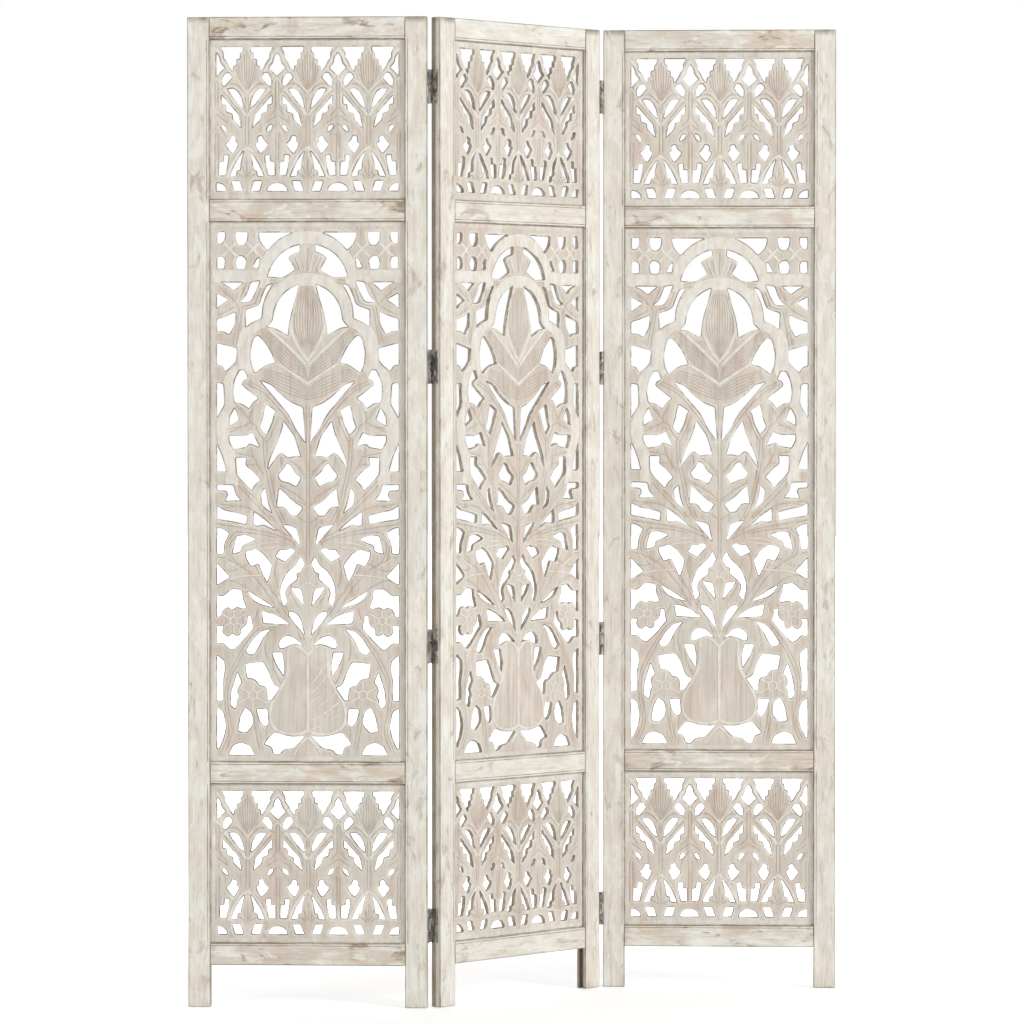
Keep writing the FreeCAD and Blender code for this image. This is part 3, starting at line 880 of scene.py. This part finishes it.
def fretwork_face():
    """Rubbed wood: cream wash on ridges, bands, borders and leaf rims; veins and the feet of raised lines
    darkened with grime and painted shade; cut edges and the corner at the frame darkened with grime and
    painted shade.
    """
    n = Nodes(bpy.data.materials.new("fretwork_limed"))
    grain = n.attribute("grain", "Vector")
    streaks = n.noise(grain, (8, 140, 140), 5, 0.3)
    fine = n.noise(grain, (24, 440, 440), 4)
    patches = n.noise(grain, (10, 18, 18), 4, 0.6)
    mottle = n.noise(grain, (45, 90, 90), 4)
    tint = n.noise(grain, (7, 14, 14), 3, 0.5)
    breaks = n.noise(grain, (40, 40, 40), 3)
    ground = n.coat(LIMED_WOOD, PALE_LIMED, patches, 0.34, 0.68)
    ground = n.coat(ground, GREY_LIMED, tint, 0.42, 0.60, 0.7)
    ground = n.coat(ground, LIMED_STREAK, streaks, 0.45, 0.72, 0.75)
    cream = n.coat(CREAM, DULL_CREAM, mottle, 0.36, 0.66)
    uneven = n.times(n.math("SUBTRACT", n.plus(streaks, patches), 1.0), 0.9)
    chalky = n.ramp(n.plus(n.attribute("wash"), uneven), 0.1, 0.7)
    colour = n.mix(n.times(chalky, 0.95), ground, cream)
    colour = n.coat(colour, LIMED_GRAIN, fine, 0.56, 0.76, 0.45)
    # Grime and painted shade in the veins, painted shade at the feet of raised lines
    colour = n.mix(n.marked("dark", mottle, 0.34, 0.62, 0.1, 0.55), colour, GROOVE_GRIME_AND_SHADE)
    # Grime and painted shade along cut edges and at the frame, broken up by noise
    colour = n.mix(n.marked("dirt", breaks, 0.42, 0.58, 0.25, 1.0), colour, CUT_DIRT_AND_SHADE)
    n.fill(n.shader, {"Specular IOR Level": WOOD_SPECULAR})
    relief = n.plus(streaks, n.times(fine, 0.5))
    return n.surface(colour, n.ramp(streaks, 0.3, 0.7, 0.65, 0.88), relief, 0.3, 0.001)


def fretwork_wall():
    """Sawn sides of the openings: darker wood with paint caught on it."""
    n = Nodes(bpy.data.materials.new("fretwork_sawn"))
    grain = n.attribute("grain", "Vector")
    saw = n.noise(grain, (300, 300, 40), 3)
    colour = n.coat(SAWN_WOOD, SAWN_PAINT, n.noise(grain, (60, 60, 60), 4), 0.38, 0.66)
    colour = n.coat(colour, SAW_MARK, saw, 0.5, 0.75, 0.5)
    return n.surface(colour, n.ramp(saw, 0.3, 0.7, 0.7, 0.9), saw, 0.3, 0.0008)


def steel(name, dark, light, rubbed):
    """Aged steel with dull patches, rubbed spots and smears of the frame's whitewash."""
    n = Nodes(bpy.data.materials.new(name))
    place = n.add("ShaderNodeTexCoord", {})["Object"]
    blotches = n.noise(place, (90, 90, 90), 5)
    specks = n.noise(place, (700, 700, 700), 3)
    smears = n.ramp(n.noise(place, (150, 150, 60), 4), 0.46, 0.60, 0.0, 0.75)
    colour = n.coat(dark, light, blotches, 0.35, 0.65)
    colour = n.coat(colour, rubbed, specks, 0.58, 0.75, 0.6)
    colour = n.mix(smears, colour, SMEARED_WASH)
    metallic = n.math("SUBTRACT", STEEL_METALLIC, n.times(smears, STEEL_METALLIC))
    n.fill(n.shader, {"Metallic": metallic})
    return n.surface(colour, n.ramp(blotches, 0.3, 0.7, 0.4, 0.64), specks, 0.2, 0.0003)


FRAME_WOOD = frame_wood()
FRETWORK_FACE = fretwork_face()
FRETWORK_WALL = fretwork_wall()
HINGE_STEEL = steel("aged_steel", paint(92, 91, 86), paint(134, 131, 123), paint(180, 174, 164))
SCREW_STEEL = steel("screw_steel", paint(120, 116, 108), paint(156, 151, 142), paint(190, 184, 174))


# Carved boards

def add_board(panel, name, low, high, surface, lift, seed):
    points, triangles, rings, cut, marks = surface
    count = len(points)
    x, z = points[:, 0], points[:, 1] + lift
    front = np.column_stack((x, low.y + cut, z))
    back = np.column_stack((x, high.y - BACK_RELIEF * cut, z))
    faces = triangles.tolist() + (triangles[:, ::-1] + count).tolist()
    walls = []
    for ring in rings:
        for a, b in zip(ring, ring[1:] + ring[:1]):
            walls.append((a, a + count, b + count, b))
    piece = new_piece(f"{panel}_{name}_carved", np.concatenate((front, back)), faces + walls, panel,
                      [f"{panel}_{name}"], [FRETWORK_FACE, FRETWORK_WALL],
                      BOARD_SMOOTH_ANGLE)
    set_kinds(piece, [0] * len(faces) + [1] * len(walls))
    for mark, values in marks.items():
        set_numbers(piece, mark, np.tile(values, 2))
    set_grain(piece, np.tile(z, 2), np.tile(x, 2), np.repeat((low.y, high.y), count), seed)


def add_boards():
    middle_box = local_box("middle_fretwork")
    bottom_box = local_box("bottom_fretwork")
    lift = local_box("top_fretwork")[0].z - bottom_box[0].z
    bottom = carved_surface(*bottom_box, OPENING_SPANS[0], end_drawing(BOTTOM_SEED, BOTTOM_OPENNESS))
    top = carved_surface(*bottom_box, OPENING_SPANS[0], end_drawing(TOP_SEED, TOP_OPENNESS))
    for number, panel in enumerate(PANELS):
        extra = fan(*LEFT_VASE_RIDGES) if panel == "left" else []
        middle = carved_surface(*middle_box, OPENING_SPANS[1], middle_drawing(PANEL_SEEDS * number, extra))
        seed = BOARD_SEEDS * number
        add_board(panel, "middle_fretwork", *middle_box, middle, 0, seed + 1)
        add_board(panel, "bottom_fretwork", *bottom_box, bottom, 0, seed + 2)
        add_board(panel, "top_fretwork", *bottom_box, top, lift, seed + 3)


# Frame bars
ARRIS = 1.3
ARRIS_MIDDLE = 0.3 * ARRIS
ARRIS_END = ARRIS + 0.4
ARRIS_SINK = 0.1
BEAD_WIDTH = 4.4
BEAD_GROOVE = 0.9
BEAD_GROOVE_HALF = 0.8
BEAD_RUN_OUT = 0.6
SLOT_HALF = 4.15
SLOT_DEPTH = 5.0
SLOT_LIP = 0.1
SLOT_WEAR = 0.3
BACK_SEAM = 0.5
FACE_PARTS = (0.3, 0.5, 0.7)
STATION_STEP = 14.0
END_STEP = 0.5
END_TUCK = 0.6
PLANE_WOBBLE = 0.2
PLANE_STRETCH = 0.5
BARE_INNER_EDGE = 0.6
BARE_OUTER_EDGE = 0.7
# Painted shade, as in the fold between panels, on the back half of the bars' edges
FOLD_SHADE_OUTER_EDGE = 0.4
RAIL_RUB = {"left": 1.0, "middle": 0.45, "right": 1.0}
STILE_RUB = 0.5
FIRST_BAR_SEED = 40
BAR_SMOOTH_ANGLE = 35

# A point of a bar's section: its place, edge wear, crevice (grime and painted shade), bare wood, and
# whether it is in the bead's groove or the board's slot.
Spot = namedtuple("Spot", "across through edge crevice bare bead slot", defaults=(0, 0, 0, 0, 0))


def half_profile(inner):
    """From the middle of a bar's edge to its front face, measured from the edge and from the front."""
    arris = [Spot(0.0, ARRIS_END), Spot(0.0, ARRIS, edge=1), Spot(ARRIS_MIDDLE, ARRIS_MIDDLE, edge=1),
             Spot(ARRIS, 0.0, edge=1), Spot(ARRIS_END, 0.0)]
    if not inner:
        return [Spot(0.0, HALF_THICKNESS - BACK_SEAM)] + arris
    slot_side = HALF_THICKNESS - SLOT_HALF
    slot = [Spot(0.0, slot_side, SLOT_WEAR, crevice=1, bare=1, slot=1),
            Spot(0.0, slot_side - SLOT_LIP, SLOT_WEAR, bare=1)]
    bead = [Spot(BEAD_WIDTH - BEAD_GROOVE_HALF, 0.0), Spot(BEAD_WIDTH, 0.0, crevice=1, bead=1),
            Spot(BEAD_WIDTH + BEAD_GROOVE_HALF, 0.0)]
    return slot + arris + bead


def bar_profile(width, low_inner, high_inner):
    """A bar's section, round from the low edge over the front; the back half mirrors the front."""
    strip = half_profile(low_inner) + [Spot(part * width, 0.0) for part in FACE_PARTS]
    strip += [spot._replace(across=width - spot.across) for spot in reversed(half_profile(high_inner))]
    front = [spot._replace(through=spot.through - HALF_THICKNESS) for spot in strip]
    return front + [spot._replace(through=-spot.through) for spot in reversed(front)]


def add_bar(panel, name, low, high, upright, inner_edges, bead_spans, slot_top, bare_top, rub, seed):
    """A planed bar with soft arrises; beside each board a groove sets off a bead, and a slot holds the
    board. An upright bar's slot ends at slot_top, and its inner edge is bare wood below bare_top."""
    width = high.x - low.x if upright else high.z - low.z
    start, end = (low.z, high.z) if upright else (low.x, high.x)
    profile = bar_profile(width, *inner_edges)
    stops = [start, start + END_STEP, start + ARRIS, end - ARRIS, end - END_STEP, end, slot_top,
             slot_top + SLOT_LIP]
    stops += list(np.arange(start, end, STATION_STEP)[1:])
    for first, last in bead_spans:
        stops += [first, first + BEAD_RUN_OUT, last - BEAD_RUN_OUT, last]
    stops = sorted(stop for stop in set(stops) if start <= stop <= end)
    rows = []
    for stop in stops:
        beaded = any(first < stop < last for first, last in bead_spans)
        from_end = min(stop - start, end - stop)
        tuck = END_TUCK * max(0.0, ARRIS - from_end)
        for across, through, edge, crevice, bare, bead, slot in profile:
            on_edge = across in (0.0, width)
            # Back half of a bar's edge: bare wood, darkened with painted shade
            outer_back = not slot and on_edge and through > 0 and not bare
            sunk = SLOT_DEPTH if slot and stop <= slot_top else 0.0
            toward = 1 if across < width / 2 else -1
            lateral = across + toward * (sunk + (tuck if on_edge else 0.0))
            planed = PLANE_WOBBLE * (1 + wobble(stop * PLANE_STRETCH, across / PLANE_STRETCH, seed)) / 2
            inward = tuck + (planed if edge < 1 else ARRIS_SINK) + (BEAD_GROOVE if bead and beaded else 0.0)
            face = math.copysign(1, through)
            y = through - face * (inward if abs(through) > SLOT_HALF else 0.0)
            raw = bare * (1.0 if stop < bare_top else BARE_INNER_EDGE) + BARE_OUTER_EDGE * outer_back
            # Grime and painted shade in the bead's groove and the slot, painted shade on the back of the
            # edges
            dark = crevice * (beaded if bead else stop <= slot_top) + FOLD_SHADE_OUTER_EDGE * outer_back
            place = (low.x + lateral, y, stop) if upright else (stop, y, low.z + lateral)
            rows.append(place + (1.0 if from_end < ARRIS else edge, dark, raw, stop, across, through))
    table = np.array(rows)
    shape = Shape()
    shape.rings(table[:, :3].reshape(len(stops), len(profile), 3), 0, True)
    faces = shape.faces if upright else [face[::-1] for face in shape.faces]
    piece = new_piece(f"{panel}_{name}_planed", shape.vertices, faces, panel, [f"{panel}_{name}"],
                      [FRAME_WOOD], BAR_SMOOTH_ANGLE)
    for column, attribute in ((3, "edge"), (4, "crevice"), (5, "bare")):
        set_numbers(piece, attribute, table[:, column])
    set_numbers(piece, "rub", np.full(len(table), rub))
    set_grain(piece, *table[:, 6:].T, seed)


def add_frames():
    seed = FIRST_BAR_SEED
    slot_top = OPENING_SPANS[2][1] + SLOT_DEPTH
    leg_top = RAILS["bottom_rail"][0].z
    for panel in PANELS:
        for name, inner_edges in (("left_stile", (False, True)), ("right_stile", (True, False))):
            low, high = local_box(name)
            add_bar(panel, name, low, high, True, inner_edges, OPENING_SPANS, slot_top, leg_top,
                    STILE_RUB, seed)
            seed += 1
        for name, (low, high) in RAILS.items():
            low = Vector((-STILE_INNER, low.y, low.z))
            high = Vector((STILE_INNER, high.y, high.z))
            inner_edges = (name != "bottom_rail", name != "top_rail")
            add_bar(panel, name, low, high, False, inner_edges, [(low.x, high.x)], high.x, low.x,
                    RAIL_RUB[panel], seed)
            seed += 1


# Hinges
HINGE_COUNT = 4
HINGE_LENGTH = 57.0
LEAF_THICKNESS = 1.8
LEAF_OUTSIDE = HALF_WIDTH + LEAF_THICKNESS
LEAF_WIDTH = 15.0
LEAF_CORNER = 1.5
LEAF_CORNER_POINTS = 5
LEAF_CHAMFER = 0.3
FOLD_GAP = 4.0
PIN_REACH = 13.0
PLATE_REACH = 9.6
KNUCKLE_RADIUS = 2.7
KNUCKLE_CHAMFER = 0.6
KNUCKLE_GAP = 0.4
BORE_RADIUS = 1.55
ROUND_SIDES = 24
NECK_OVERLAP = 0.5
NECK_TO_PIN = 1.9
NECK_SETBACK = 0.2
SCREW_RADIUS = 3.0
SCREW_POINTS = 12
SCREW_SLOT = 0.9
SCREW_SPACING = 19.0
SCREW_LEVELS = ((-0.4, 1.0), (0.08, 1.0), (0.13, 0.95))
SCREW_TURN = 0.4
NEXT_SCREW_TURN = 1.1
NEXT_HINGE_TURN = 0.01
HINGE_SMOOTH_ANGLE = 32


def leaf_outline(y0, y1, z0, z1, inset):
    """Plate with soft corners, in the edge's plane."""
    corner = LEAF_CORNER
    turns = (((y1 - corner, z1 - corner), 0), ((y0 + corner, z1 - corner), 90),
             ((y0 + corner, z0 + corner), 180), ((y1 - corner, z0 + corner), 270))
    return np.concatenate([arc(centre, corner - inset, first, first + 90, LEAF_CORNER_POINTS)
                           for centre, first in turns])


def add_knuckle(shape, edge, face, z0, z1):
    """One bored knuckle with soft ends, and the neck that joins it to its leaf."""
    axis = (edge * (HALF_WIDTH + FOLD_GAP / 2), face * PIN_REACH)
    angles = np.linspace(0, 2 * math.pi, ROUND_SIDES, endpoint=False)
    end_radius = KNUCKLE_RADIUS - KNUCKLE_CHAMFER
    sections = [(BORE_RADIUS, z0), (end_radius, z0), (KNUCKLE_RADIUS, z0 + KNUCKLE_CHAMFER),
                (KNUCKLE_RADIUS, z1 - KNUCKLE_CHAMFER), (end_radius, z1), (BORE_RADIUS, z1)]
    shape.rings([[(axis[0] + r * math.cos(a), axis[1] + r * math.sin(a), z) for a in angles]
                 for r, z in sections], 0, False)
    near, far = face * (PLATE_REACH - NECK_OVERLAP), face * (PIN_REACH - NECK_TO_PIN)
    x_in, x_out = edge * HALF_WIDTH, edge * LEAF_OUTSIDE
    neck = [(x_in, near), (x_out, near), (x_out, far), (x_in, far)]
    neck = neck if edge * face > 0 else neck[::-1]
    shape.rings([[(x, y, z) for x, y in neck] for z in (z0 + NECK_SETBACK, z1 - NECK_SETBACK)], 0, True)


def add_screw(shape, edge, y, z, turn):
    """A screw head as two halves, with its slot between them."""
    outside = edge * LEAF_OUTSIDE
    tilt = math.asin(SCREW_SLOT / 2 / SCREW_RADIUS)
    for side in (0, math.pi):
        half = np.linspace(side + tilt, side + math.pi - tilt, SCREW_POINTS) + turn
        rings = [[(outside + edge * rise, y + scale * SCREW_RADIUS * math.cos(a),
                   z + scale * SCREW_RADIUS * math.sin(a)) for a in half] for rise, scale in SCREW_LEVELS]
        shape.rings(rings if edge > 0 else [ring[::-1] for ring in rings], 1, True)


def add_leaf(shape, edge, face, middle, spans):
    """One hinge leaf on a panel's edge, with its knuckles and three slotted screws."""
    z0 = middle - HINGE_LENGTH / 2
    y0, y1 = sorted((face * PLATE_REACH, face * (PLATE_REACH - LEAF_WIDTH)))
    outside = edge * LEAF_OUTSIDE
    layers = [(edge * HALF_WIDTH, 0.0), (outside - edge * LEAF_CHAMFER, 0.0), (outside, LEAF_CHAMFER)]
    plate = (y0, y1, z0, z0 + HINGE_LENGTH)
    rings = [[(x, y, z) for y, z in leaf_outline(*plate, inset)] for x, inset in layers]
    shape.rings(rings if edge > 0 else rings[::-1], 0, True)
    for low, high in spans:
        add_knuckle(shape, edge, face, z0 + low, z0 + high)
    for number in (-1, 0, 1):
        turn = SCREW_TURN + number * NEXT_SCREW_TURN + middle * NEXT_HINGE_TURN
        add_screw(shape, edge, face * (PLATE_REACH - LEAF_WIDTH / 2), middle + number * SCREW_SPACING, turn)


def add_hinges():
    third = (HINGE_LENGTH - 2 * KNUCKLE_GAP) / 3
    outer = [(0.0, third), (HINGE_LENGTH - third, HINGE_LENGTH)]
    inner = [(third + KNUCKLE_GAP, 2 * third + KNUCKLE_GAP)]
    low, high = node_box("left_fold_pins")
    heights = np.linspace(low.z + HINGE_LENGTH / 2, high.z - HINGE_LENGTH / 2, HINGE_COUNT)
    leaves = (("left_fold_outer_leaves", "left", 1, 1, outer),
              ("left_fold_inner_leaves", "middle", -1, 1, inner),
              ("right_fold_outer_leaves", "middle", 1, -1, outer),
              ("right_fold_inner_leaves", "right", -1, -1, inner))
    for node, panel, edge, face, spans in leaves:
        shape = Shape()
        for middle in heights:
            add_leaf(shape, edge, face, middle, spans)
        piece = new_piece(node + "_screwed", shape.vertices, shape.faces, panel, [node],
                          [HINGE_STEEL, SCREW_STEEL], HINGE_SMOOTH_ANGLE)
        set_kinds(piece, shape.kinds)
    for node in ("left_fold_pins", "right_fold_pins"):
        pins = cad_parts[node].data
        pins.materials.clear()
        pins.materials.append(SCREW_STEEL)


# Studio: pale floor, soft light, white surround for the camera
WHITE = (1.0, 1.0, 1.0, 1.0)
WORLD_LEVEL = 0.60
FLOOR_REACH = 30.0
FLOOR_DROP = 0.0005
FLOOR_COLOUR = (0.84, 0.84, 0.84, 1.0)
FLOOR_ROUGHNESS = 0.9
FLOOR_GLOW = (0.4, 1.6, 0.30, 1.0)
LAMPS = (
    ("key", (6.9, -5.3, 3.2), 2.6, 385),
    ("fill", (-3.6, -4.0, 2.0), 2.2, 40),
    ("rear", (-0.6, 4.4, 2.8), 2.2, 70),
)
CAMERA_PLACE = (0.38555, -8.34320, 1.00083)
CAMERA_TILT = 88.7837
CAMERA_TURN = 2.7047
CAMERA_LENS = 173.168
CAMERA_SENSOR = 36.0
CAMERA_REACH = 100.0


def add_world():
    n = Nodes(bpy.data.worlds.new("studio"), "Background")
    bpy.context.scene.world = n.owner
    path = n.add("ShaderNodeLightPath", {})
    seen = n.math("MAXIMUM", path["Is Camera Ray"], path["Is Glossy Ray"])
    n.fill(n.shader, {"Color": WHITE, "Strength": n.ramp(seen, 0.0, 1.0, WORLD_LEVEL, 1.0)})


def add_floor():
    """Pale floor that fades into the white surround away from the screen."""
    mesh = bpy.data.meshes.new("floor")
    reach = FLOOR_REACH
    mesh.from_pydata([(-reach, -reach, 0), (reach, -reach, 0), (reach, reach, 0), (-reach, reach, 0)], [],
                     [(0, 1, 2, 3)])
    floor = bpy.data.objects.new("floor", mesh)
    floor.location.z = -FLOOR_DROP
    bpy.context.scene.collection.objects.link(floor)
    n = Nodes(bpy.data.materials.new("studio_floor"))
    place = n.add("ShaderNodeTexCoord", {})["Object"]
    distance = n.add("ShaderNodeVectorMath", {0: place}, operation="LENGTH")["Value"]
    ray = n.add("ShaderNodeLightPath", {})["Is Camera Ray"]
    glow = n.times(ray, n.ramp(distance, *FLOOR_GLOW))
    n.fill(n.shader, {"Base Color": FLOOR_COLOUR, "Roughness": FLOOR_ROUGHNESS, "Emission Color": WHITE,
                      "Emission Strength": glow})
    mesh.materials.append(n.owner)


def add_lamp(name, place, size, power):
    light = bpy.data.lights.new(name, "AREA")
    light.size = size
    light.energy = power
    lamp = bpy.data.objects.new(name, light)
    lamp.location = place
    aim = Vector((0, 0, PANEL_HEIGHT * MM / 2)) - Vector(place)
    lamp.rotation_euler = aim.to_track_quat("-Z", "Y").to_euler()
    bpy.context.scene.collection.objects.link(lamp)


def add_camera():
    camera = bpy.data.cameras.new("camera")
    camera.lens = CAMERA_LENS
    camera.sensor_width = CAMERA_SENSOR
    camera.clip_end = CAMERA_REACH
    view = bpy.data.objects.new("camera", camera)
    view.location = CAMERA_PLACE
    view.rotation_euler = (math.radians(CAMERA_TILT), 0, math.radians(CAMERA_TURN))
    bpy.context.scene.collection.objects.link(view)
    bpy.context.scene.camera = view


add_boards()
add_frames()
add_hinges()
add_world()
add_floor()
for lamp_values in LAMPS:
    add_lamp(*lamp_values)
add_camera()
bpy.context.scene.view_settings.view_transform = "Standard"
